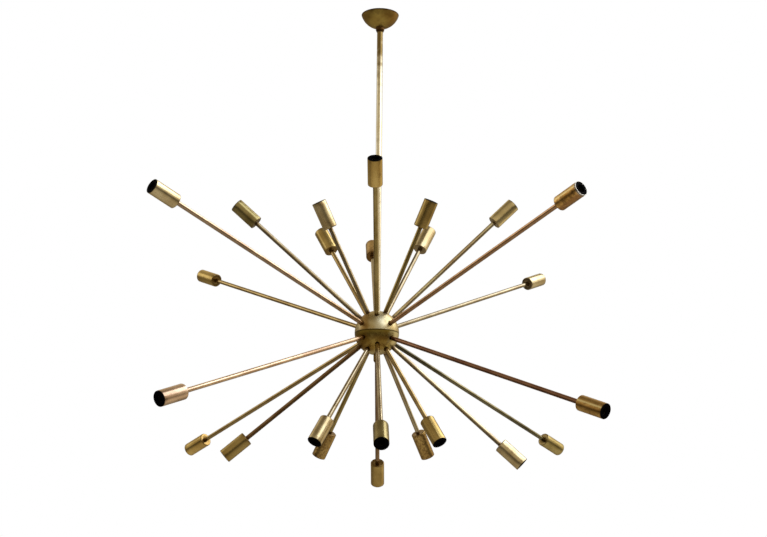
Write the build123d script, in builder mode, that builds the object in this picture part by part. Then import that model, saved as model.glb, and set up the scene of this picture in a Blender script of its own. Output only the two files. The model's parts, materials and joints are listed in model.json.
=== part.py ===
"""Chandelier with straight arms in three lengths on a ball hub, hung from a ceiling bracket.

Millimetres, +Z up, the ceiling at z = 0 and the front towards -Y. Each sub-part is one STEP file.
"""

import os
from math import cos, radians, sin, sqrt

from build123d import *

# Ball hub of two cast half shells
HUB_DROP = 704.0
HUB_R = 46.0
HUB_WALL = 6.0
SEAM_LIP_HEIGHT = 3.0
SEAM_LIP_WALL = 3.0
SEAM_GROOVE = 0.6

# Arms: centre of the hub to the mouth of the cover, and the rise from the hub's seam
ARM_R = 4.6
ARM_WALL = 0.9
ARM_PROUD_INSIDE = 1.0
ARM_RECESS_R = 6.2
ARM_RECESS_DEPTH = 2.0
REACH = {"long": 608.0, "mid": 401.0, "short": 296.0}
RISE_DEGREES = {"long": 19.0, "mid": 43.0, "short": 56.0}
FIRST_HEADING_DEGREES = {"long": 45.0, "mid": 0.0, "short": 45.0}
ARMS_PER_RING = 4

# Degrees by which each arm sits off the even spacing, sideways and away from the seam
SWING_DEGREES = {
    ("upper", "long"): (-6.0, 2.0, 1.5, -1.0),
    ("upper", "mid"): (-1.5, 2.0, 2.5, 2.0),
    ("upper", "short"): (1.0, 0.0, 2.5, -8.0),
    ("lower", "long"): (0.5, -2.0, 3.0, 3.5),
    ("lower", "mid"): (2.0, -6.0, -1.0, -4.5),
    ("lower", "short"): (1.0, 5.5, 0.0, 1.0),
}
LIFT_DEGREES = {
    ("upper", "long"): (-1.5, 1.5, 1.0, -0.5),
    ("upper", "mid"): (3.5, 1.5, -2.0, -1.0),
    ("upper", "short"): (3.5, 1.5, -0.5, 3.0),
    ("lower", "long"): (1.5, -0.5, 0.5, 0.5),
    ("lower", "mid"): (-2.0, -0.5, 2.0, -3.5),
    ("lower", "short"): (-2.0, -2.0, -1.0, -1.5),
}

# Socket cover and the lampholder inside it
COVER_R = 14.75
COVER_LENGTH = 58.0
COVER_WALL = 0.8
COVER_INSIDE_EDGE = 1.0
HOLDER_RECESS = 0.6
HOLDER_BORE_R = 7.5
HOLDER_BORE_DEPTH = 24.0

# Stem with a turned-down end above and below
STEM_R = 6.35
STEM_END_R = 5.0
STEM_BORE_R = 3.5
WIRE_HOLE_R = 2.5

# Cap nut under the hub
CAP_R = 6.5
CAP_SKIRT = 11.0
CAP_GRIP = 5.5

# Canopy, collar and clamp screw
CANOPY_R = 40.5
CANOPY_DEPTH = 30.0
CANOPY_WALL = 1.0
CANOPY_FLAT_R = 10.0
CEILING_GAP = 0.5
COLLAR_TOP_R = 9.2
COLLAR_BOTTOM_R = 7.1
COLLAR_HEIGHT = 10.5
COLLAR_BAND = 6.0
SCREW_R = 1.5
SCREW_HEAD_R = 2.7
SCREW_HEAD_HEIGHT = 2.2
SCREW_SLOT = 0.8

# Ceiling bracket: a strap with raised ends, and its nut
STRAP_WIDTH = 16.0
STRAP_THICKNESS = 2.5
STRAP_LENGTH = 68.0
STRAP_DROP = 8.0
STRAP_WELL = 30.0
STRAP_SLOPE = 6.0
CEILING_SCREW_SPACING = 54.0
CEILING_SCREW_HOLE_R = 2.4
NUT_ACROSS_FLATS = 16.0
NUT_HEIGHT = 4.5
STEM_END_PROUD = 1.0

# Clearances, all on the radius or on a face
THREAD_CLEARANCE = 0.05
SLIDING_CLEARANCE = 0.06
PASSING_CLEARANCE = 0.4
HOLDER_CLEARANCE = 0.35
TOUCH_CLEARANCE = 0.02

# Places that follow from the sizes above
HUB_CENTRE = Vector(0, 0, -HUB_DROP)
HUB_INNER_R = HUB_R - HUB_WALL
ARM_HOLE_R = ARM_R + THREAD_CLEARANCE
STEM_END_HOLE_R = STEM_END_R + THREAD_CLEARANCE
STEM_SEAT = sqrt(HUB_R**2 - STEM_END_HOLE_R**2) + TOUCH_CLEARANCE
STRAP_UNDERSIDE = -STRAP_DROP - STRAP_THICKNESS
CANOPY_BALL_R = (CANOPY_R**2 + CANOPY_DEPTH**2) / (2 * CANOPY_DEPTH)
CANOPY_BALL_Z = CANOPY_BALL_R - CANOPY_DEPTH - CEILING_GAP
CANOPY_BOTTOM = CANOPY_BALL_Z - sqrt(CANOPY_BALL_R**2 - CANOPY_FLAT_R**2)
COLLAR_TOP = CANOPY_BOTTOM - TOUCH_CLEARANCE
COLLAR_BOTTOM = COLLAR_TOP - COLLAR_HEIGHT
COLLAR_BORE_R = STEM_R + SLIDING_CLEARANCE
SCREW_Z = COLLAR_TOP - COLLAR_BAND / 2


def arm_direction(half, ring, index):
    """Unit vector of one arm. Heading 0 is the front, and it grows towards +X."""
    even = FIRST_HEADING_DEGREES[ring] + 360 / ARMS_PER_RING * index
    heading = radians(even + SWING_DEGREES[half, ring][index])
    rise = radians(RISE_DEGREES[ring] + LIFT_DEGREES[half, ring][index])
    side = 1 if half == "upper" else -1
    return Vector(sin(heading) * cos(rise), -cos(heading) * cos(rise), side * sin(rise))


def arm_plane(direction):
    """Plane for arm profiles: local x runs out along the arm and local y is the radius."""
    return Plane(HUB_CENTRE, x_dir=direction, z_dir=direction.cross(Vector(0, 0, 1)))


def cross_plane(direction, distance):
    """Plane square to an arm at a distance from the centre of the hub."""
    return Plane(HUB_CENTRE + direction * distance, z_dir=direction)


ARMS = [
    (half, ring, index, arm_direction(half, ring, index))
    for half in ("upper", "lower")
    for ring in REACH
    for index in range(ARMS_PER_RING)
]

os.makedirs("parts", exist_ok=True)

# Hub half shells: a turned half ball, the register at the seam, then each hole and the recess round its arm
LIP_R = HUB_INNER_R + SEAM_LIP_WALL
for half, side in (("upper", 1), ("lower", -1)):
    with BuildPart() as shell:
        with BuildSketch(Plane.XZ) as ring_profile:
            with BuildLine():
                CenterArc((0, 0), HUB_R, 0, side * 90)
                Line((0, side * HUB_R), (0, side * HUB_INNER_R))
                CenterArc((0, 0), HUB_INNER_R, 0, side * 90)
                Line((HUB_INNER_R, 0), (HUB_R, 0))
            make_face()
        revolve(axis=Axis.Z)
        seam_edge = shell.edges().group_by(Axis.Z)[0 if side > 0 else -1].sort_by(SortBy.RADIUS)[-1]
        chamfer(seam_edge, SEAM_GROOVE)
        if side > 0:
            with BuildSketch(Plane.XY):
                Circle(LIP_R + SLIDING_CLEARANCE)
            extrude(amount=SEAM_LIP_HEIGHT + SLIDING_CLEARANCE, mode=Mode.SUBTRACT)
        else:
            with BuildSketch(Plane.XY):
                Circle(LIP_R)
                Circle(HUB_INNER_R, mode=Mode.SUBTRACT)
            extrude(amount=SEAM_LIP_HEIGHT)
        with BuildSketch(Plane.XY):
            Circle(STEM_END_HOLE_R)
        extrude(amount=side * 2 * HUB_R, mode=Mode.SUBTRACT)
        for arm_half, ring, index, direction in ARMS:
            if arm_half == half:
                with BuildSketch(Plane((0, 0, 0), z_dir=direction)):
                    Circle(ARM_HOLE_R)
                extrude(amount=2 * HUB_R, mode=Mode.SUBTRACT)
                with BuildSketch(Plane(direction * (HUB_R - ARM_RECESS_DEPTH), z_dir=direction)):
                    Circle(ARM_RECESS_R)
                extrude(amount=HUB_R, mode=Mode.SUBTRACT)
    shell_part = shell.part.moved(Location(HUB_CENTRE))
    shell_part.label = f"hub_{half}_shell"
    export_step(shell_part, f"parts/hub_{half}_shell.step")

# Arms, each a straight tube through the hub's wall and the base of its cover
for half, ring, index, direction in ARMS:
    name = f"arm_{half}_{ring}_{index + 1}"
    start = HUB_INNER_R - ARM_PROUD_INSIDE
    end = REACH[ring] - COVER_LENGTH + COVER_WALL
    with BuildPart() as arm:
        with BuildSketch(cross_plane(direction, start)):
            Circle(ARM_R)
            Circle(ARM_R - ARM_WALL, mode=Mode.SUBTRACT)
        extrude(amount=end - start)
    arm.part.label = name
    export_step(arm.part, f"parts/{name}.step")

# Socket covers: a drawn cup with a round base edge, pierced by the arm and open at the mouth
for half, ring, index, direction in ARMS:
    name = f"cover_{half}_{ring}_{index + 1}"
    mouth = REACH[ring]
    base = mouth - COVER_LENGTH
    with BuildPart() as cover:
        with BuildSketch(arm_plane(direction)) as cup_profile:
            Polygon(
                (base, ARM_HOLE_R),
                (base, COVER_R),
                (mouth, COVER_R),
                (mouth, COVER_R - COVER_WALL),
                (base + COVER_WALL, COVER_R - COVER_WALL),
                (base + COVER_WALL, ARM_HOLE_R),
                align=None,
            )
            inside_corner = cup_profile.vertices().group_by(Axis.X)[1].sort_by(Axis.Y)[-1]
            fillet(inside_corner, COVER_INSIDE_EDGE)
            outside_corner = cup_profile.vertices().group_by(Axis.X)[0].sort_by(Axis.Y)[-1]
            fillet(outside_corner, COVER_INSIDE_EDGE + COVER_WALL)
        revolve(axis=Axis(HUB_CENTRE, direction))
    cover.part.label = name
    export_step(cover.part, f"parts/{name}.step")

# Lampholders: moulded bodies with a socket bore and an eased back edge, all in one node
HOLDER_R = COVER_R - COVER_WALL - HOLDER_CLEARANCE
with BuildPart() as lampholders:
    for half, ring, index, direction in ARMS:
        face = REACH[ring] - HOLDER_RECESS
        back = REACH[ring] - COVER_LENGTH + COVER_WALL + TOUCH_CLEARANCE
        with BuildSketch(arm_plane(direction)):
            Polygon(
                (back, 0),
                (back, HOLDER_R - COVER_INSIDE_EDGE),
                (back + COVER_INSIDE_EDGE, HOLDER_R),
                (face, HOLDER_R),
                (face, HOLDER_BORE_R),
                (face - HOLDER_BORE_DEPTH, HOLDER_BORE_R),
                (face - HOLDER_BORE_DEPTH, 0),
                align=None,
            )
        revolve(axis=Axis(HUB_CENTRE, direction))
lampholders.part.label = "lampholders"
export_step(lampholders.part, "parts/lampholders.step")

# Stem: shoulders bear on the bracket above and on the hub below
STEM_TOP = -STRAP_DROP + NUT_HEIGHT + STEM_END_PROUD
STEM_UPPER_SHOULDER = STRAP_UNDERSIDE - TOUCH_CLEARANCE
STEM_LOWER_SHOULDER = -HUB_DROP + STEM_SEAT
STEM_BOTTOM = -HUB_DROP - STEM_SEAT - CAP_GRIP
with BuildPart() as stem:
    with BuildSketch(Plane.XZ):
        Polygon(
            (STEM_BORE_R, STEM_BOTTOM),
            (STEM_END_R, STEM_BOTTOM),
            (STEM_END_R, STEM_LOWER_SHOULDER),
            (STEM_R, STEM_LOWER_SHOULDER),
            (STEM_R, STEM_UPPER_SHOULDER),
            (STEM_END_R, STEM_UPPER_SHOULDER),
            (STEM_END_R, STEM_TOP),
            (STEM_BORE_R, STEM_TOP),
            align=None,
        )
    revolve(axis=Axis.Z)
    with BuildSketch(Plane(HUB_CENTRE, z_dir=(1, 0, 0))):
        Circle(WIRE_HOLE_R)
    extrude(amount=STEM_R, both=True, mode=Mode.SUBTRACT)
stem.part.label = "stem_tube"
export_step(stem.part, "parts/stem_tube.step")

# Cap nut: a plain skirt with a round crown, threaded on the stem's lower end
CAP_TOP = -HUB_DROP - STEM_SEAT
CAP_HOLE_END = STEM_BOTTOM - TOUCH_CLEARANCE
CAP_CROWN_R = CAP_R
with BuildPart() as cap_nut:
    with BuildSketch(Plane.XZ):
        with BuildLine():
            Polyline(
                (0, CAP_HOLE_END),
                (STEM_END_HOLE_R, CAP_HOLE_END),
                (STEM_END_HOLE_R, CAP_TOP),
                (CAP_R, CAP_TOP),
                (CAP_R, CAP_TOP - CAP_SKIRT),
            )
            CenterArc((0, CAP_TOP - CAP_SKIRT), CAP_CROWN_R, 0, -90)
            Line((0, CAP_TOP - CAP_SKIRT - CAP_CROWN_R), (0, CAP_HOLE_END))
        make_face()
    revolve(axis=Axis.Z)
cap_nut.part.label = "hub_cap_nut"
export_step(cap_nut.part, "parts/hub_cap_nut.step")

# Canopy: a spun bowl, part of a ball, flat where it rests on the collar and pierced by the stem
INNER_BALL_R = CANOPY_BALL_R - CANOPY_WALL
BALL_SPAN = 2 * CANOPY_BALL_R
INNER_FLAT_R = sqrt(INNER_BALL_R**2 - (CANOPY_BALL_Z - CANOPY_BOTTOM - CANOPY_WALL) ** 2)
with BuildPart() as canopy:
    with BuildSketch(Plane.XZ):
        with Locations((0, CANOPY_BALL_Z)):
            Circle(CANOPY_BALL_R)
            Circle(INNER_BALL_R, mode=Mode.SUBTRACT)
        with Locations((0, CANOPY_BOTTOM + CANOPY_WALL)):
            Rectangle(2 * INNER_FLAT_R, CANOPY_WALL, align=(Align.CENTER, Align.MAX))
        with Locations((0, CANOPY_BOTTOM)):
            Rectangle(BALL_SPAN, BALL_SPAN, align=(Align.CENTER, Align.MAX), mode=Mode.SUBTRACT)
        with Locations((0, -CEILING_GAP)):
            Rectangle(BALL_SPAN, BALL_SPAN, align=(Align.CENTER, Align.MIN), mode=Mode.SUBTRACT)
        with Locations((STEM_R + PASSING_CLEARANCE, 0)):
            Rectangle(2 * BALL_SPAN, 2 * BALL_SPAN, align=(Align.MAX, Align.CENTER), mode=Mode.SUBTRACT)
    revolve(axis=Axis.Z)
canopy.part.label = "canopy_bowl"
export_step(canopy.part, "parts/canopy_bowl.step")

# Collar: a straight band that takes the screw, tapering to the stem below it
with BuildPart() as collar:
    with BuildSketch(Plane.XZ):
        Polygon(
            (COLLAR_BORE_R, COLLAR_TOP),
            (COLLAR_TOP_R, COLLAR_TOP),
            (COLLAR_TOP_R, COLLAR_TOP - COLLAR_BAND),
            (COLLAR_BOTTOM_R, COLLAR_BOTTOM),
            (COLLAR_BORE_R, COLLAR_BOTTOM),
            align=None,
        )
    revolve(axis=Axis.Z)
    with BuildSketch(Plane((0, 0, SCREW_Z), z_dir=(0, 1, 0))):
        Circle(SCREW_R + THREAD_CLEARANCE)
    extrude(amount=2 * COLLAR_TOP_R, mode=Mode.SUBTRACT)
collar.part.label = "canopy_collar"
export_step(collar.part, "parts/canopy_collar.step")

# Clamp screw at the back of the collar: its tip bears on the stem
with BuildPart() as clamp_screw:
    with BuildSketch(Plane((0, STEM_R + TOUCH_CLEARANCE, SCREW_Z), z_dir=(0, 1, 0))):
        Circle(SCREW_R)
    extrude(amount=COLLAR_TOP_R - STEM_R)
    with BuildSketch(Plane((0, COLLAR_TOP_R + TOUCH_CLEARANCE, SCREW_Z), z_dir=(0, 1, 0))):
        Circle(SCREW_HEAD_R)
    extrude(amount=SCREW_HEAD_HEIGHT)
    head_end = COLLAR_TOP_R + TOUCH_CLEARANCE + SCREW_HEAD_HEIGHT
    with BuildSketch(Plane((0, head_end, SCREW_Z), z_dir=(0, 1, 0))):
        Rectangle(3 * SCREW_HEAD_R, SCREW_SLOT)
    extrude(amount=-SCREW_HEAD_HEIGHT / 2, mode=Mode.SUBTRACT)
clamp_screw.part.label = "collar_screw"
export_step(clamp_screw.part, "parts/collar_screw.step")

# Ceiling bracket: a bent strap whose middle stands off the ceiling
HALF_LENGTH = STRAP_LENGTH / 2
HALF_WELL = STRAP_WELL / 2
with BuildPart() as bracket:
    with BuildSketch(Plane.XZ):
        Polygon(
            (-HALF_LENGTH, 0),
            (-HALF_WELL - STRAP_SLOPE, 0),
            (-HALF_WELL, -STRAP_DROP),
            (HALF_WELL, -STRAP_DROP),
            (HALF_WELL + STRAP_SLOPE, 0),
            (HALF_LENGTH, 0),
            (HALF_LENGTH, -STRAP_THICKNESS),
            (HALF_WELL + STRAP_SLOPE - STRAP_THICKNESS / 2, -STRAP_THICKNESS),
            (HALF_WELL - STRAP_THICKNESS / 2, STRAP_UNDERSIDE),
            (-HALF_WELL + STRAP_THICKNESS / 2, STRAP_UNDERSIDE),
            (-HALF_WELL - STRAP_SLOPE + STRAP_THICKNESS / 2, -STRAP_THICKNESS),
            (-HALF_LENGTH, -STRAP_THICKNESS),
            align=None,
        )
    extrude(amount=STRAP_WIDTH / 2, both=True)
    with BuildSketch(Plane.XY):
        Circle(STEM_END_HOLE_R)
        with GridLocations(CEILING_SCREW_SPACING, 0, 2, 1):
            Circle(CEILING_SCREW_HOLE_R)
    extrude(amount=-2 * STRAP_DROP, mode=Mode.SUBTRACT)
bracket.part.label = "ceiling_bracket"
export_step(bracket.part, "parts/ceiling_bracket.step")

# Nut on the stem's upper end, inside the well of the bracket
with BuildPart() as stem_nut:
    with BuildSketch(Plane((0, 0, -STRAP_DROP + TOUCH_CLEARANCE))):
        RegularPolygon(NUT_ACROSS_FLATS / 2, 6, major_radius=False)
        Circle(STEM_END_HOLE_R, mode=Mode.SUBTRACT)
    extrude(amount=NUT_HEIGHT)
stem_nut.part.label = "bracket_nut"
export_step(stem_nut.part, "parts/bracket_nut.step")
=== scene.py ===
"""Looks of the chandelier: aged brass arms, covers and hub, black lampholders, in plain studio light."""

import json
from math import cos, pi, radians, sin
from typing import NamedTuple

import bpy
from mathutils import Matrix, Quaternion, Vector


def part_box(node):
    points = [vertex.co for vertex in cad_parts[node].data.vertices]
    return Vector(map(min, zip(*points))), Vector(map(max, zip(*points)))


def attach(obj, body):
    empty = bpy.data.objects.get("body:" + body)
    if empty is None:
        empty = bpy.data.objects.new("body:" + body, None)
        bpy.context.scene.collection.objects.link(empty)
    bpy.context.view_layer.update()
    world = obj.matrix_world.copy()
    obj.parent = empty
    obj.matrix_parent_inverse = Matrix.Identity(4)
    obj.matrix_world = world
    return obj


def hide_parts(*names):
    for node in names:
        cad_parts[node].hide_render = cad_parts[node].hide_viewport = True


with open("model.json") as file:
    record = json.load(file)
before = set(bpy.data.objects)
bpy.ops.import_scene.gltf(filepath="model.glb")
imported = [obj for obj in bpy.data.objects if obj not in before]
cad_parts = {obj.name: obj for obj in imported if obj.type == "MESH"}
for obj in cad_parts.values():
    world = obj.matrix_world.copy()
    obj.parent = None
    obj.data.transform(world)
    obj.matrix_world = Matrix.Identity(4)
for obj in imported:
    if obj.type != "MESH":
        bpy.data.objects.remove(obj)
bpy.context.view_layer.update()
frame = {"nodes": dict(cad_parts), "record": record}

MM = 0.001
BODY = "chandelier"

# Sizes that the solids have too
ARM_R = 4.6 * MM
HUB_R = 46.0 * MM
HUB_WALL = 6.0 * MM
COVER_R = 14.75 * MM
COVER_LENGTH = 58.0 * MM
COVER_WALL = 0.8 * MM
HOLDER_RECESS = 0.6 * MM
HOLDER_R = 13.6 * MM
HOLDER_BORE_R = 7.5 * MM
HOLDER_BORE_DEPTH = 24.0 * MM

# Finer forms that only the visual model has
ARM_STEPS = 24
ARM_WAVER = 0.006
ARM_WAVES = (61, 23)
ARM_OVERLAP = 1.0 * MM
COVER_EDGE_ROUND = 1.8 * MM
COVER_WALL_STEPS = 8
RIM_ROUND = 0.35 * MM
HOLE_R = ARM_R + 0.1 * MM
HOLE_CHAMFER_R = ARM_R + 0.5 * MM
HOLE_CHAMFER_DEPTH = 0.25 * MM
HOLDER_SOFT_EDGE = 0.5 * MM
SEAT_GAP = 0.05 * MM
SHELL_R = 6.95 * MM
SHELL_WAVE = 0.35 * MM
SHELL_PITCH = 2.8 * MM
SHELL_LENGTH = HOLDER_BORE_DEPTH - 5.0 * MM
SHELL_FOOT = 1.0 * MM
SHELL_WALL = 0.15 * MM
SHELL_STEPS = 20
SHELL_ROWS = 40
CONTACT_R = 2.2 * MM
CONTACT_SHOULDER_R = 0.8 * CONTACT_R
CONTACT_HEIGHTS = (1.2 * MM, 1.8 * MM, 2.1 * MM)

# The camera in metres from the hub, in front of it and below, and its turns in degrees
IMAGE_WIDTH = 767
CAMERA_BACK = 2.977
CAMERA_BELOW = 0.568
CAMERA_PITCH = 13.325
CAMERA_YAW = 0.24
CAMERA_ROLL = 0.55
FOCAL_PIXELS = 1464.2
SENSOR = 36.0

# The floor disc, in metres, far below the lamp
FLOOR_Z = -5.0
FLOOR_R = 8.0
FLOOR_STEPS = 96

HUB_CENTRE = Vector((0.0, 0.0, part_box("hub_upper_shell")[0][2]))


class Arm:
    """One arm: its name, direction and reach, read from its socket in the record."""

    def __init__(self, mount):
        self.name = mount["name"].removeprefix("lamp_socket_")
        self.axis = Vector(mount["axis"]).normalized()
        middle = (Vector(mount["pos_m"]) - HUB_CENTRE).length
        self.reach = middle + HOLDER_BORE_DEPTH / 2 + HOLDER_RECESS

    def place(self, distance):
        """Matrix whose Z runs out along the arm and whose X is the arm's upper side."""
        across = Vector((0, 0, 1)).cross(self.axis).normalized()
        top = self.axis.cross(across)
        turn = Matrix((top, across, self.axis)).transposed().to_4x4()
        return Matrix.Translation(HUB_CENTRE + self.axis * distance) @ turn


arms = [Arm(m) for m in frame["record"]["mounts"] if m["name"].startswith("lamp_socket_")]


def mesh_object(name, points, faces, matrix, smooth_angle=35.0):
    """A smooth-shaded mesh piece with sharp edges kept, at its place in the shared frame."""
    mesh = bpy.data.meshes.new(name)
    mesh.from_pydata(points, [], faces)
    mesh.update()
    mesh.polygons.foreach_set("use_smooth", [True] * len(mesh.polygons))
    mesh.set_sharp_from_angle(angle=radians(smooth_angle))
    piece = bpy.data.objects.new(name, mesh)
    piece.matrix_world = matrix
    bpy.context.scene.collection.objects.link(piece)
    return piece


def lathe(name, profile, matrix, segments=40):
    """Turns a profile of (radius, height) points about local Z.

    A radius of 0 closes an end, and a profile that ends where it starts makes a closed ring.
    """
    points, faces, rings = [], [], []
    ring_shaped = profile[0] == profile[-1]
    outline = profile[:-1] if ring_shaped else profile
    for radius, height in outline:
        if radius == 0:
            rings.append([len(points)])
            points.append((0, 0, height))
            continue
        rings.append(list(range(len(points), len(points) + segments)))
        for step in range(segments):
            angle = 2 * pi * step / segments
            points.append((radius * cos(angle), radius * sin(angle), height))
    if ring_shaped:
        rings.append(rings[0])
    for low, high in zip(rings, rings[1:]):
        for step in range(segments):
            after = (step + 1) % segments
            if len(low) == 1:
                faces.append((low[0], high[after], high[step]))
            elif len(high) == 1:
                faces.append((low[step], low[after], high[0]))
            else:
                faces.append((low[step], low[after], high[after], high[step]))
    return mesh_object(name, points, faces, matrix)


def quarter_round(centre, radius, start, steps=6):
    """Points of a quarter circle in a profile, anticlockwise from a start angle in degrees."""
    angles = [radians(start + 90 * step / steps) for step in range(steps + 1)]
    return [(centre[0] + radius * cos(a), centre[1] + radius * sin(a)) for a in angles]


def add_node(tree, kind, **settings):
    """A shader node with its properties set."""
    node = tree.nodes.new(kind)
    for key, value in settings.items():
        setattr(node, key, value)
    return node


def noise(tree, coords, scale, detail=3.0, stretch=(1, 1, 1), seed=(0, 0, 0), rough=0.55):
    """Noise values on stretched coordinates."""
    place = add_node(tree, "ShaderNodeMapping", vector_type="POINT")
    place.inputs["Location"].default_value = seed
    place.inputs["Scale"].default_value = stretch
    tree.links.new(coords, place.inputs["Vector"])
    node = add_node(tree, "ShaderNodeTexNoise", noise_dimensions="3D")
    node.inputs["Scale"].default_value = scale
    node.inputs["Detail"].default_value = detail
    node.inputs["Roughness"].default_value = rough
    tree.links.new(place.outputs["Vector"], node.inputs["Vector"])
    return node.outputs["Fac"]


def ramp(tree, value, low, high, out_low=0.0, out_high=1.0):
    """Smooth step of a value between two limits."""
    node = add_node(tree, "ShaderNodeMapRange", interpolation_type="SMOOTHSTEP")
    node.inputs["From Min"].default_value = low
    node.inputs["From Max"].default_value = high
    node.inputs["To Min"].default_value = out_low
    node.inputs["To Max"].default_value = out_high
    tree.links.new(value, node.inputs["Value"])
    return node.outputs["Result"]


# Places of the colour sockets on Blender's mix node
MIX_COLOUR_INPUTS = (6, 7)
MIX_COLOUR_OUTPUT = 2


def mix(tree, share, first, second):
    """Colour mix; either colour may be a constant or a socket."""
    node = add_node(tree, "ShaderNodeMix", data_type="RGBA", blend_type="MIX")
    tree.links.new(share, node.inputs["Factor"])
    for index, colour in zip(MIX_COLOUR_INPUTS, (first, second)):
        socket = node.inputs[index]
        if isinstance(colour, tuple):
            socket.default_value = (*colour, 1.0)
        else:
            tree.links.new(colour, socket)
    return node.outputs[MIX_COLOUR_OUTPUT]


def maths(tree, operation, *values):
    """A maths node; each value may be a constant or a socket."""
    node = add_node(tree, "ShaderNodeMath", operation=operation)
    for socket, value in zip(node.inputs, values):
        if isinstance(value, (int, float)):
            socket.default_value = value
        else:
            tree.links.new(value, socket)
    return node.outputs["Value"]


def new_material(name):
    """An empty principled material and its parts."""
    material = bpy.data.materials.new(name)
    material.use_nodes = True
    tree = material.node_tree
    shader = tree.nodes["Principled BSDF"]
    coords = add_node(tree, "ShaderNodeTexCoord").outputs["Object"]
    return material, tree, shader, coords


def add_bump(tree, shader, height, strength, distance):
    """Relief on a shader from a height value."""
    bump = add_node(tree, "ShaderNodeBump")
    bump.inputs["Strength"].default_value = strength
    bump.inputs["Distance"].default_value = distance
    tree.links.new(height, bump.inputs["Height"])
    tree.links.new(bump.outputs["Normal"], shader.inputs["Normal"])


class Patch(NamedTuple):
    """A stretch of another colour: its local axis, its place there, how far it reaches and how strongly."""

    axis: str
    at: float
    reach: float
    strength: float
    colour: tuple


def add_patches(tree, coords, colour, blotch, patches):
    """Lays patches over a colour, each with an edge made ragged by the blotches."""
    along = add_node(tree, "ShaderNodeSeparateXYZ")
    tree.links.new(coords, along.inputs["Vector"])
    for patch in patches:
        gap = maths(tree, "ABSOLUTE", maths(tree, "SUBTRACT", along.outputs[patch.axis], patch.at))
        ragged = maths(tree, "MULTIPLY_ADD", blotch, patch.reach, -0.5 * patch.reach)
        distance = maths(tree, "ADD", gap, ragged)
        share = ramp(tree, distance, 0.25 * patch.reach, patch.reach, patch.strength, 0.0)
        colour = mix(tree, share, colour, patch.colour)
    return colour


# Scales of the brass finish, in cycles per metre
CLOUD_SCALE = 24.0
BLOTCH_SCALE = 75.0
FINE_SPOTS = 240.0
COARSE_SPOTS = 130.0
HUB_SPOTS = 110.0
BRUSHED_LINES = (700, 700, 14)
DRAWN_LINES = (260, 260, 6)
COVER_LINES = (30, 30, 900)
TURNED_LINES = (30, 30, 500)

# Noise values between which each layer of the brass finish sets in
CLOUD_LIMITS = (0.35, 0.68)
BLOTCH_LIMITS = (0.58, 0.76)
SPOT_LIMITS = (0.45, 0.65)
LINE_LIMITS = (0.45, 0.75)

# How far blotches and lines change the finish
LINE_SHARE = 0.12
GLOSS_SPREAD = 0.16
LINE_GLOSS = 0.05
BLOTCH_HEIGHT = 0.6
LINE_HEIGHT = 0.4
RELIEF_DEPTH = 0.1 * MM
BROWN_STAIN = (0.16, 0.085, 0.035)


def aged_brass(name, bright, dark, stain=BROWN_STAIN, stain_share=0.35, speckle=0.0, spot_scale=FINE_SPOTS,
               roughness=0.2, relief=0.02, lines=BRUSHED_LINES, patches=(), seed=0.0):
    """Worn brass: cloudy tarnish, spots, drawn or turned lines, and patches of another colour, among them
    painted highlights and painted shade.
    """
    material, tree, shader, coords = new_material(name)
    offset = (seed, seed * 1.7, seed * 0.6)
    cloud = noise(tree, coords, CLOUD_SCALE, detail=2.0, seed=offset)
    colour = mix(tree, ramp(tree, cloud, *CLOUD_LIMITS), bright, dark)
    blotch = noise(tree, coords, BLOTCH_SCALE, detail=3.0, seed=offset)
    colour = mix(tree, ramp(tree, blotch, *BLOTCH_LIMITS, 0.0, stain_share), colour, stain)
    if speckle:
        spots = noise(tree, coords, spot_scale, detail=2.0, seed=offset, rough=0.6)
        colour = mix(tree, ramp(tree, spots, *SPOT_LIMITS, 0.0, speckle), colour, stain)
    streaks = noise(tree, coords, 1.0, detail=2.0, stretch=lines, seed=offset)
    colour = mix(tree, ramp(tree, streaks, *LINE_LIMITS, 0.0, LINE_SHARE), colour, dark)
    if patches:
        colour = add_patches(tree, coords, colour, blotch, patches)
    tree.links.new(colour, shader.inputs["Base Color"])
    shader.inputs["Metallic"].default_value = 1.0
    gloss = maths(tree, "MULTIPLY_ADD", blotch, GLOSS_SPREAD, roughness - 0.5 * GLOSS_SPREAD)
    line_gloss = maths(tree, "MULTIPLY", streaks, LINE_GLOSS)
    tree.links.new(maths(tree, "ADD", gloss, line_gloss), shader.inputs["Roughness"])
    blotch_height = maths(tree, "MULTIPLY", blotch, BLOTCH_HEIGHT)
    line_height = maths(tree, "MULTIPLY", streaks, LINE_HEIGHT)
    add_bump(tree, shader, maths(tree, "ADD", blotch_height, line_height), relief, RELIEF_DEPTH)
    return material


def black_phenolic():
    """Moulded black plastic with a dusty, slightly uneven skin."""
    material, tree, shader, coords = new_material("black_phenolic_look")
    dust = noise(tree, coords, scale=240.0, detail=4.0)
    colour = mix(tree, ramp(tree, dust, 0.45, 0.75), (0.0012, 0.0012, 0.003), (0.003, 0.003, 0.005))
    tree.links.new(colour, shader.inputs["Base Color"])
    tree.links.new(ramp(tree, dust, 0.3, 0.7, 0.38, 0.62), shader.inputs["Roughness"])
    shader.inputs["Specular IOR Level"].default_value = 0.006
    grain = noise(tree, coords, scale=1500.0, detail=2.0)
    add_bump(tree, shader, grain, strength=0.15, distance=0.3 * MM)
    return material


def dull_metal(name, bright, dark, roughness):
    """Plain metal of hidden fittings and contacts, with a cloudy film."""
    material, tree, shader, coords = new_material(name)
    film = noise(tree, coords, scale=180.0, detail=4.0)
    tree.links.new(mix(tree, ramp(tree, film, 0.4, 0.7), bright, dark), shader.inputs["Base Color"])
    shader.inputs["Metallic"].default_value = 1.0
    tree.links.new(ramp(tree, film, 0.3, 0.7, roughness - 0.1, roughness + 0.15), shader.inputs["Roughness"])
    return material


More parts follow.
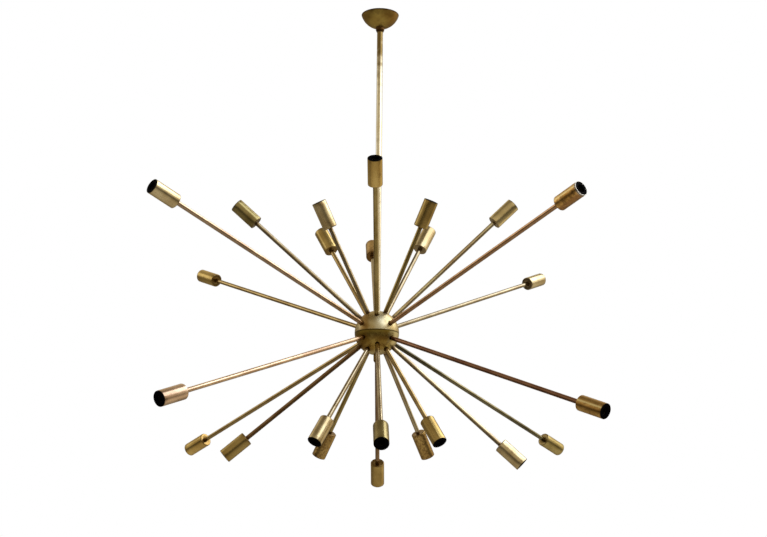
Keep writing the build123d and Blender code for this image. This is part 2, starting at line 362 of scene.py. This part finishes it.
# Tarnish of the arms: (bright, dark) brass colours
ARM_TONES = {
    "brown": ((0.48, 0.34, 0.21), (0.31, 0.20, 0.12)),
    "red": ((0.40, 0.22, 0.14), (0.25, 0.12, 0.08)),
    "umber": ((0.32, 0.20, 0.10), (0.21, 0.12, 0.055)),
    "copper": ((0.78, 0.50, 0.31), (0.54, 0.32, 0.18)),
    "olive": ((0.52, 0.42, 0.19), (0.34, 0.26, 0.10)),
    "black": ((0.24, 0.22, 0.14), (0.12, 0.11, 0.07)),
    "pale": ((0.70, 0.61, 0.44), (0.48, 0.39, 0.26)),
    "pink": ((0.70, 0.54, 0.41), (0.48, 0.34, 0.25)),
    "gold": ((0.60, 0.46, 0.23), (0.42, 0.30, 0.14)),
}
# Each arm's tone and lightness factor, which stand partly for its own tarnish and partly for painted light
# and shade
ARM_TONE_OF = {
    "upper_long_1": ("copper", 1.05),
    "upper_long_2": ("pale", 0.7),
    "upper_long_3": ("gold", 1.2),
    "upper_long_4": ("pink", 1.2),
    "upper_mid_1": ("olive", 1.05),
    "upper_mid_2": ("pale", 1.5),
    "upper_mid_3": ("pale", 1.5),
    "upper_mid_4": ("pale", 0.95),
    "upper_short_1": ("olive", 1.25),
    "upper_short_2": ("pale", 0.9),
    "upper_short_3": ("gold", 1.3),
    "upper_short_4": ("pale", 1.1),
    "lower_long_1": ("red", 0.9),
    "lower_long_2": ("black", 1.8),
    "lower_long_3": ("gold", 1.2),
    "lower_long_4": ("pink", 1.35),
    "lower_mid_1": ("pale", 0.85),
    "lower_mid_2": ("pale", 0.9),
    "lower_mid_3": ("brown", 0.9),
    "lower_mid_4": ("umber", 1.0),
    "lower_short_1": ("gold", 0.9),
    "lower_short_2": ("pale", 1.45),
    "lower_short_3": ("olive", 1.6),
    "lower_short_4": ("pale", 0.9),
}

# Tarnish of the covers: (bright, dark) brass colours and how thick the brown spots lie
COVER_TONES = {
    "pale": ((0.80, 0.70, 0.47), (0.60, 0.48, 0.28), 0.0),
    "rose": ((0.74, 0.57, 0.46), (0.54, 0.38, 0.28), 0.0),
    "satin": ((0.66, 0.56, 0.33), (0.48, 0.39, 0.21), 0.0),
    "olive": ((0.56, 0.47, 0.22), (0.40, 0.32, 0.13), 0.0),
    "gold": ((0.64, 0.48, 0.19), (0.46, 0.32, 0.11), 0.0),
    "brown": ((0.68, 0.46, 0.18), (0.42, 0.25, 0.08), 0.4),
    "copper": ((0.72, 0.46, 0.17), (0.42, 0.23, 0.06), 0.7),
    "spotted": ((0.56, 0.40, 0.16), (0.40, 0.26, 0.09), 0.7),
}
# Each cover's tone and lightness factor, which stand partly for its own tarnish and partly for painted light
# and shade
COVER_TONE_OF = {
    "upper_long_1": ("copper", 1.25),
    "upper_long_2": ("pale", 0.8),
    "upper_long_3": ("gold", 1.05),
    "upper_long_4": ("pale", 1.0),
    "upper_mid_1": ("gold", 1.25),
    "upper_mid_2": ("satin", 1.25),
    "upper_mid_3": ("brown", 1.0),
    "upper_mid_4": ("olive", 0.72),
    "upper_short_1": ("gold", 0.8),
    "upper_short_2": ("pale", 0.95),
    "upper_short_3": ("gold", 0.9),
    "upper_short_4": ("pale", 1.05),
    "lower_long_1": ("brown", 1.25),
    "lower_long_2": ("olive", 1.2),
    "lower_long_3": ("gold", 1.35),
    "lower_long_4": ("rose", 1.05),
    "lower_mid_1": ("olive", 0.65),
    "lower_mid_2": ("pale", 1.0),
    "lower_mid_3": ("gold", 0.88),
    "lower_mid_4": ("gold", 0.75),
    "lower_short_1": ("gold", 0.8),
    "lower_short_2": ("spotted", 1.1),
    "lower_short_3": ("spotted", 1.0),
    "lower_short_4": ("pale", 0.95),
}

# Darker stretches of two arms next to the hub
ARM_STAINS = {
    "lower_long_2": Patch("Z", HUB_R, 190 * MM, 0.85, (0.07, 0.065, 0.045)),
    "upper_long_4": Patch("Z", HUB_R, 170 * MM, 0.65, (0.36, 0.22, 0.09)),
}

# A dark brown for dirt, also used as painted shade where parts meet and along the canopy rim
GRIME_AND_SHADE = (0.10, 0.05, 0.02)
# A near-black for the darkened rim at each cover's mouth
DARK_MOUTH_RIM = (0.02, 0.015, 0.01)
SILVER = (0.90, 0.91, 0.95)
SILVER_MOUTH = "upper_long_1"

# Painted highlights and painted shade along two covers: light and dark bands at heights on the wall
COVER_PAINTED_LIGHT = {
    "upper_long_1": (
        Patch("X", -0.95 * COVER_R, 4.0 * MM, 0.7, (0.30, 0.15, 0.07)),
        Patch("X", 0.75 * COVER_R, 3.5 * MM, 0.7, (0.36, 0.19, 0.07)),
        Patch("X", 0.28 * COVER_R, 3.2 * MM, 0.95, (0.97, 0.80, 0.44)),
    ),
    "lower_long_1": (
        Patch("X", -0.15 * COVER_R, 4.5 * MM, 0.65, (0.38, 0.20, 0.05)),
        Patch("X", 0.35 * COVER_R, 2.6 * MM, 0.9, (0.97, 0.84, 0.48)),
        Patch("X", 0.85 * COVER_R, 5.0 * MM, 0.7, (0.34, 0.20, 0.06)),
    ),
}

# Painted shade with dirt at the base of a cover, a darkened rim at its mouth, and the bare silvery mouth of
# one of them above a dark line
COVER_BASE = Patch("Z", 0.0, 2.5 * MM, 0.6, GRIME_AND_SHADE)
COVER_MOUTH = Patch("Z", COVER_LENGTH, 1.2 * MM, 0.95, DARK_MOUTH_RIM)
BARE_MOUTH = Patch("Z", COVER_LENGTH, 5.2 * MM, 1.0, SILVER)
BARE_MOUTH_LINE = Patch("Z", COVER_LENGTH - 2.4 * MM, 1.3 * MM, 0.85, GRIME_AND_SHADE)

holder_look = black_phenolic()
shell_look = dull_metal("socket_shell_look", (0.04, 0.034, 0.025), (0.016, 0.013, 0.01), 0.5)
contact_look = dull_metal("contact_look", (0.10, 0.08, 0.05), (0.04, 0.03, 0.02), 0.45)
zinc_look = dull_metal("zinc_look", (0.62, 0.62, 0.58), (0.40, 0.40, 0.37), 0.4)

BRIGHTEST = 0.97


def scaled(colour, shade):
    """A colour made lighter or darker."""
    return tuple(min(channel * shade, BRIGHTEST) for channel in colour)


def add_arm(arm, number):
    """The tube, a touch uneven along its length, from inside the hub into its cover."""
    start = HUB_R - HUB_WALL - ARM_OVERLAP
    end = arm.reach - COVER_LENGTH + COVER_WALL
    profile = [(0, start)]
    for step in range(ARM_STEPS + 1):
        height = start + (end - start) * step / ARM_STEPS
        waves = sin(height * ARM_WAVES[0] + number) * sin(height * ARM_WAVES[1] + 2.0 * number)
        waver = 1.0 + ARM_WAVER * waves
        profile.append((ARM_R * min(waver, 1.0), height))
    profile.append((0, end))
    piece = lathe(f"arm_tube_{arm.name}", profile, arm.place(0.0), segments=32)
    tone, shade = ARM_TONE_OF[arm.name]
    bright, dark = (scaled(colour, shade) for colour in ARM_TONES[tone])
    # Painted shade along the arm's underside, stronger the more sideways the arm points
    sideways = abs(arm.axis.x) / arm.axis.to_2d().length
    underside_shade = Patch("X", -ARM_R, 0.9 * ARM_R, 0.2 + 0.6 * sideways, scaled(dark, 0.35))
    # Painted shade with dirt where the arm enters the hub and where it enters its cover
    hub_end = Patch("Z", HUB_R, 9 * MM, 0.8, GRIME_AND_SHADE)
    cover_end = Patch("Z", arm.reach - COVER_LENGTH, 7 * MM, 0.7, GRIME_AND_SHADE)
    patches = [underside_shade, hub_end, cover_end]
    # Painted shade along the top edge of each upward arm
    if arm.axis.z > 0:
        patches.append(Patch("X", ARM_R, 0.8 * ARM_R, 0.7, scaled(dark, 0.5)))
    if arm.name in ARM_STAINS:
        patches.append(ARM_STAINS[arm.name])
    look = aged_brass(f"arm_{arm.name}_look", bright, dark, roughness=0.11, relief=0.0025,
                      lines=DRAWN_LINES, patches=patches, seed=0.37 * number)
    piece.data.materials.append(look)
    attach(piece, BODY)
    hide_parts(f"arm_{arm.name}")


def add_cover(arm, number):
    """The drawn cup: flat base with a rounded edge, straight wall, and a softened mouth."""
    inner = COVER_R - COVER_WALL
    profile = [(HOLE_R, COVER_WALL), (HOLE_R, HOLE_CHAMFER_DEPTH), (HOLE_CHAMFER_R, 0.0)]
    edge = (COVER_R - COVER_EDGE_ROUND, COVER_EDGE_ROUND)
    profile += quarter_round(edge, COVER_EDGE_ROUND, -90)
    straight = COVER_LENGTH - 2 * COVER_EDGE_ROUND
    for step in range(1, COVER_WALL_STEPS):
        profile.append((COVER_R, COVER_EDGE_ROUND + straight * step / COVER_WALL_STEPS))
    profile += quarter_round((COVER_R - RIM_ROUND, COVER_LENGTH - RIM_ROUND), RIM_ROUND, 0, 3)
    profile += quarter_round((inner + RIM_ROUND, COVER_LENGTH - RIM_ROUND), RIM_ROUND, 90, 3)
    profile += [(inner, COVER_LENGTH * 0.5), (inner, COVER_WALL), (HOLE_R, COVER_WALL)]
    piece = lathe(f"socket_cover_{arm.name}", profile, arm.place(arm.reach - COVER_LENGTH), segments=64)
    # The two covers with bands get their painted highlights and painted shade first
    patches = [*COVER_PAINTED_LIGHT.get(arm.name, ()), COVER_BASE]
    if arm.name == SILVER_MOUTH:
        patches += [BARE_MOUTH, BARE_MOUTH_LINE]
    else:
        patches.append(COVER_MOUTH)
    tone, shade = COVER_TONE_OF[arm.name]
    bright, dark, speckle = COVER_TONES[tone]
    spot_scale = COARSE_SPOTS if arm.name in COVER_PAINTED_LIGHT else FINE_SPOTS
    look = aged_brass(f"cover_{arm.name}_look", scaled(bright, shade), scaled(dark, shade), stain_share=0.3,
                      speckle=speckle, spot_scale=spot_scale, roughness=0.22, lines=COVER_LINES,
                      patches=patches, seed=1.0 + 0.53 * number)
    piece.data.materials.append(look)
    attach(piece, BODY)
    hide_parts(f"cover_{arm.name}")


def add_holder_body(arm, base, face, floor):
    """The black moulded body, bored for the lamp cap."""
    soft = HOLDER_SOFT_EDGE
    profile = [(0, SEAT_GAP), (HOLDER_R, SEAT_GAP)]
    profile += quarter_round((HOLDER_R - soft, face - soft), soft, 0, 3)
    profile += quarter_round((HOLDER_BORE_R + soft, face - soft), soft, 90, 3)
    profile += [(HOLDER_BORE_R, floor), (0, floor)]
    body = lathe(f"lampholder_body_{arm.name}", profile, arm.place(base), segments=48)
    body.data.materials.append(holder_look)
    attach(body, BODY)
    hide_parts("lampholders")


def add_screw_shell(arm, base, floor):
    """The thin sheet in the bore, with its rolled thread."""
    points, faces = [], []
    for row in range(SHELL_ROWS + 1):
        up = SHELL_LENGTH * row / SHELL_ROWS
        for step in range(SHELL_STEPS):
            angle = 2 * pi * step / SHELL_STEPS
            radius = SHELL_R + SHELL_WAVE * sin(2 * pi * up / SHELL_PITCH - angle)
            points.append((radius * cos(angle), radius * sin(angle), floor + SHELL_FOOT + up))
    for row in range(SHELL_ROWS):
        low = row * SHELL_STEPS
        high = low + SHELL_STEPS
        for step in range(SHELL_STEPS):
            after = (step + 1) % SHELL_STEPS
            faces.append((high + step, high + after, low + after, low + step))
    shell = mesh_object(f"screw_shell_{arm.name}", points, faces, arm.place(base), smooth_angle=80)
    solid = shell.modifiers.new("sheet", "SOLIDIFY")
    solid.thickness = SHELL_WALL
    solid.offset = -1.0
    shell.data.materials.append(shell_look)
    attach(shell, BODY)


def add_contact(arm, place):
    """The sprung centre contact at the bottom of the bore."""
    side, shoulder, top = CONTACT_HEIGHTS
    knob = [(0, 0.0), (CONTACT_R, 0.0), (CONTACT_R, side), (CONTACT_SHOULDER_R, shoulder), (0, top)]
    contact = lathe(f"centre_contact_{arm.name}", knob, arm.place(place), segments=24)
    contact.data.materials.append(contact_look)
    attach(contact, BODY)


def add_lampholder(arm):
    """One lampholder: its body, screw shell and centre contact."""
    base = arm.reach - COVER_LENGTH + COVER_WALL
    face = arm.reach - HOLDER_RECESS - base
    floor = face - HOLDER_BORE_DEPTH
    add_holder_body(arm, base, face, floor)
    add_screw_shell(arm, base, floor)
    add_contact(arm, base + floor + SEAT_GAP)


def paint_node(node, material):
    """Gives a CAD node its finished material."""
    obj = frame["nodes"][node]
    obj.data.materials.clear()
    obj.data.materials.append(material)


# Patches on the hub, the stem and the canopy: brown patches, painted highlights and painted light, painted
# shade and shadow lines, and the stem darker towards the ceiling
HUB_BROWN = Patch("X", -25 * MM, 14 * MM, 0.75, (0.33, 0.18, 0.03))
# Painted highlight: a pale patch at the front right of the upper shell
HUB_PAINTED_HIGHLIGHT = Patch("X", 7 * MM, 18 * MM, 0.6, (0.70, 0.68, 0.55))
# Painted shade on the left of the lower shell and in a band under the seam, a painted shadow line along the
# seam, and painted light on the right edge and at the bottom
HUB_LEFT_SHADE = Patch("X", -36 * MM, 30 * MM, 0.85, (0.24, 0.13, 0.015))
HUB_BAND_SHADE = Patch("Z", HUB_CENTRE.z - 1 * MM, 13 * MM, 0.75, (0.23, 0.17, 0.03))
HUB_SEAM_SHADOW = Patch("Z", HUB_CENTRE.z, 3.5 * MM, 0.9, (0.10, 0.07, 0.015))
HUB_RIGHT_LIGHT = Patch("X", HUB_R, 28 * MM, 0.8, (0.75, 0.68, 0.42))
HUB_BOTTOM_LIGHT = Patch("Z", HUB_CENTRE.z - HUB_R, 9 * MM, 0.6, (0.78, 0.69, 0.42))
STEM_TOP = Patch("Z", -30 * MM, 155 * MM, 1.0, (0.22, 0.155, 0.06))
CANOPY_BROWN = (0.26, 0.14, 0.03)
# Painted shade on the right side of the bowl, a darker brown on the left, and a painted shadow line along the
# rim at the ceiling
CANOPY_RIGHT_SHADE = Patch("X", 40 * MM, 44 * MM, 0.9, CANOPY_BROWN)
CANOPY_LEFT = Patch("X", -42 * MM, 24 * MM, 0.6, CANOPY_BROWN)
CANOPY_RIM_SHADOW = Patch("Z", -0.5 * MM, 4 * MM, 0.9, GRIME_AND_SHADE)


def paint_hub():
    """The two half shells, the upper one paler, and the dark cap nut below them."""
    upper = aged_brass("hub_upper_look", (0.66, 0.56, 0.33), (0.50, 0.38, 0.17), roughness=0.36,
                       lines=TURNED_LINES, patches=(HUB_BROWN, HUB_PAINTED_HIGHLIGHT), seed=3.1)
    lower = aged_brass("hub_lower_look", (0.60, 0.47, 0.16), (0.34, 0.22, 0.05), stain=(0.22, 0.12, 0.03),
                       stain_share=0.6, speckle=0.6, spot_scale=HUB_SPOTS, roughness=0.27, lines=TURNED_LINES,
                       patches=(HUB_LEFT_SHADE, HUB_BAND_SHADE, HUB_RIGHT_LIGHT, HUB_SEAM_SHADOW, HUB_BOTTOM_LIGHT), seed=5.3)
    nut = aged_brass("cap_nut_look", (0.34, 0.22, 0.07), (0.17, 0.10, 0.03), stain=GRIME_AND_SHADE, stain_share=0.6,
                     roughness=0.3, lines=TURNED_LINES, seed=4.4)
    paint_node("hub_upper_shell", upper)
    paint_node("hub_lower_shell", lower)
    paint_node("hub_cap_nut", nut)


def paint_stem():
    """The pale drawn tube, darker towards the ceiling."""
    tube = aged_brass("stem_look", (0.97, 0.92, 0.78), (0.88, 0.80, 0.60), roughness=0.1, relief=0.0025,
                      lines=DRAWN_LINES, patches=(STEM_TOP,), seed=7.7)
    paint_node("stem_tube", tube)


def paint_canopy():
    """The bowl, the dark collar with its screw, and the zinc fittings inside."""
    bowl = aged_brass("canopy_look", (0.54, 0.41, 0.12), (0.36, 0.24, 0.06), stain_share=0.5, roughness=0.4,
                      lines=TURNED_LINES, patches=(CANOPY_RIGHT_SHADE, CANOPY_LEFT, CANOPY_RIM_SHADOW), seed=9.9)
    collar = aged_brass("collar_look", (0.17, 0.088, 0.024), (0.085, 0.042, 0.012), roughness=0.38, seed=2.2)
    paint_node("canopy_bowl", bowl)
    paint_node("canopy_collar", collar)
    paint_node("collar_screw", collar)
    paint_node("ceiling_bracket", zinc_look)
    paint_node("bracket_nut", zinc_look)


def add_floor():
    """A pale floor disc under the object, which fades into the white around it."""
    angles = [2 * pi * step / FLOOR_STEPS for step in range(FLOOR_STEPS)]
    rim = [(FLOOR_R * cos(angle), FLOOR_R * sin(angle), 0) for angle in angles]
    floor = mesh_object("floor", rim, [tuple(range(FLOOR_STEPS))], Matrix.Translation((0, 0, FLOOR_Z)))
    material, tree, shader, coords = new_material("floor_look")
    cloud = noise(tree, coords, scale=3.0, detail=3.0)
    tree.links.new(mix(tree, cloud, (0.80, 0.79, 0.77), (0.84, 0.83, 0.81)), shader.inputs["Base Color"])
    shader.inputs["Roughness"].default_value = 0.9
    distance = add_node(tree, "ShaderNodeVectorMath", operation="LENGTH")
    tree.links.new(coords, distance.inputs[0])
    fade = ramp(tree, distance.outputs["Value"], 0.3 * FLOOR_R, 0.98 * FLOOR_R, 0.75, 0.0)
    tree.links.new(fade, shader.inputs["Alpha"])
    floor.data.materials.append(material)


# Soft lights: name, place, aim, width and height, power, colour
UPPER_ARMS = (0, 0, -0.35)
WINDOW_WHITE = (0.92, 0.97, 1.0)
SKY_WHITE = (0.95, 0.98, 1.0)
WALL_WHITE = (1.0, 0.98, 0.92)
LIGHTS = (
    ("window", (2.2, -1.35, 1.85), HUB_CENTRE, (3.0, 3.0), 48, WINDOW_WHITE),
    ("side_window", (3.4, 1.6, 3.0), HUB_CENTRE, (2.6, 3.0), 64, SKY_WHITE),
    ("right_wall", (2.6, 0.4, 0.6), UPPER_ARMS, (1.6, 1.3), 6.5, WALL_WHITE),
    ("left_wall", (-2.6, 0.4, 0.6), UPPER_ARMS, (1.6, 1.3), 4.0, WALL_WHITE),
)


def add_light(name, place, aim, size, power, colour):
    """A rectangular soft light at a place, aimed at a point."""
    data = bpy.data.lights.new(name, "AREA")
    data.shape = "RECTANGLE"
    data.size, data.size_y = size
    data.energy = power
    data.color = colour
    light = bpy.data.objects.new(name, data)
    light.location = place
    light.rotation_mode = "QUATERNION"
    light.rotation_quaternion = (Vector(aim) - Vector(place)).to_track_quat("-Z", "Y")
    light.visible_camera = False
    bpy.context.scene.collection.objects.link(light)


# The room that the metal mirrors: limits on a direction, then the light levels at those limits
ROOM_FLOOR = (-0.65, -0.22, 0.28, 0.08)
ROOM_HAZE = (-0.15, 0.1, 0.0, 0.38)
ROOM_CEILING = (0.65, 0.95, 0.0, -0.25)
ROOM_BACK_WALL = (0.3, 0.65, 0.25, 0.65)
ROOM_RIGHT_GLOW = (0.3, 0.9, 0.0, 0.35)
ROOM_LEFT_TO_RIGHT = (-0.9, 0.9, 0.95, 1.2)
ROOM_FRONT_TO_BACK = (-0.1, 0.5, 0.0, 1.0)
ROOM_COLOUR = (1.0, 0.84, 0.56, 1)


def add_world():
    """White behind the object; the metal mirrors a dim warm room, lighter behind and to the right."""
    world = bpy.data.worlds.new("studio")
    bpy.context.scene.world = world
    world.use_nodes = True
    tree = world.node_tree
    backdrop = tree.nodes["Background"]
    backdrop.inputs["Color"].default_value = (1, 1, 1, 1)
    backdrop.inputs["Strength"].default_value = 1.0
    way = add_node(tree, "ShaderNodeSeparateXYZ")
    tree.links.new(add_node(tree, "ShaderNodeTexCoord").outputs["Generated"], way.inputs["Vector"])
    floor = ramp(tree, way.outputs["Z"], *ROOM_FLOOR)
    haze = ramp(tree, way.outputs["Z"], *ROOM_HAZE)
    ceiling = ramp(tree, way.outputs["Z"], *ROOM_CEILING)
    front = maths(tree, "ADD", maths(tree, "ADD", floor, haze), ceiling)
    wall = maths(tree, "ADD", ramp(tree, way.outputs["Z"], *ROOM_BACK_WALL), ceiling)
    glow = ramp(tree, way.outputs["X"], *ROOM_RIGHT_GLOW)
    back = maths(tree, "ADD", wall, glow)
    side = ramp(tree, way.outputs["X"], *ROOM_LEFT_TO_RIGHT)
    room = add_node(tree, "ShaderNodeBackground")
    room.inputs["Color"].default_value = ROOM_COLOUR
    share = ramp(tree, way.outputs["Y"], *ROOM_FRONT_TO_BACK)
    gap = maths(tree, "MULTIPLY", share, maths(tree, "SUBTRACT", back, front))
    level = maths(tree, "MULTIPLY", maths(tree, "ADD", front, gap), side)
    tree.links.new(level, room.inputs["Strength"])
    path = add_node(tree, "ShaderNodeLightPath")
    blend = add_node(tree, "ShaderNodeMixShader")
    tree.links.new(path.outputs["Is Camera Ray"], blend.inputs["Fac"])
    tree.links.new(room.outputs["Background"], blend.inputs[1])
    tree.links.new(backdrop.outputs["Background"], blend.inputs[2])
    tree.links.new(blend.outputs["Shader"], tree.nodes["World Output"].inputs["Surface"])


def add_camera():
    """The camera where the photograph was taken from."""
    data = bpy.data.cameras.new("camera")
    data.sensor_fit = "HORIZONTAL"
    data.sensor_width = SENSOR
    data.lens = FOCAL_PIXELS / IMAGE_WIDTH * SENSOR
    camera = bpy.data.objects.new("camera", data)
    camera.location = HUB_CENTRE + Vector((0, -CAMERA_BACK, -CAMERA_BELOW))
    pitch, yaw = radians(CAMERA_PITCH), radians(CAMERA_YAW)
    look = Vector((sin(yaw) * cos(pitch), cos(yaw) * cos(pitch), sin(pitch)))
    camera.rotation_mode = "QUATERNION"
    roll = Quaternion(look, radians(-CAMERA_ROLL))
    camera.rotation_quaternion = roll @ look.to_track_quat("-Z", "Y")
    bpy.context.scene.collection.objects.link(camera)
    bpy.context.scene.camera = camera


for number, arm in enumerate(arms):
    add_arm(arm, number)
    add_cover(arm, number)
    add_lampholder(arm)
paint_hub()
paint_stem()
paint_canopy()
add_floor()
add_world()
for light in LIGHTS:
    add_light(*light)
add_camera()
bpy.context.scene.view_settings.view_transform = "Standard"
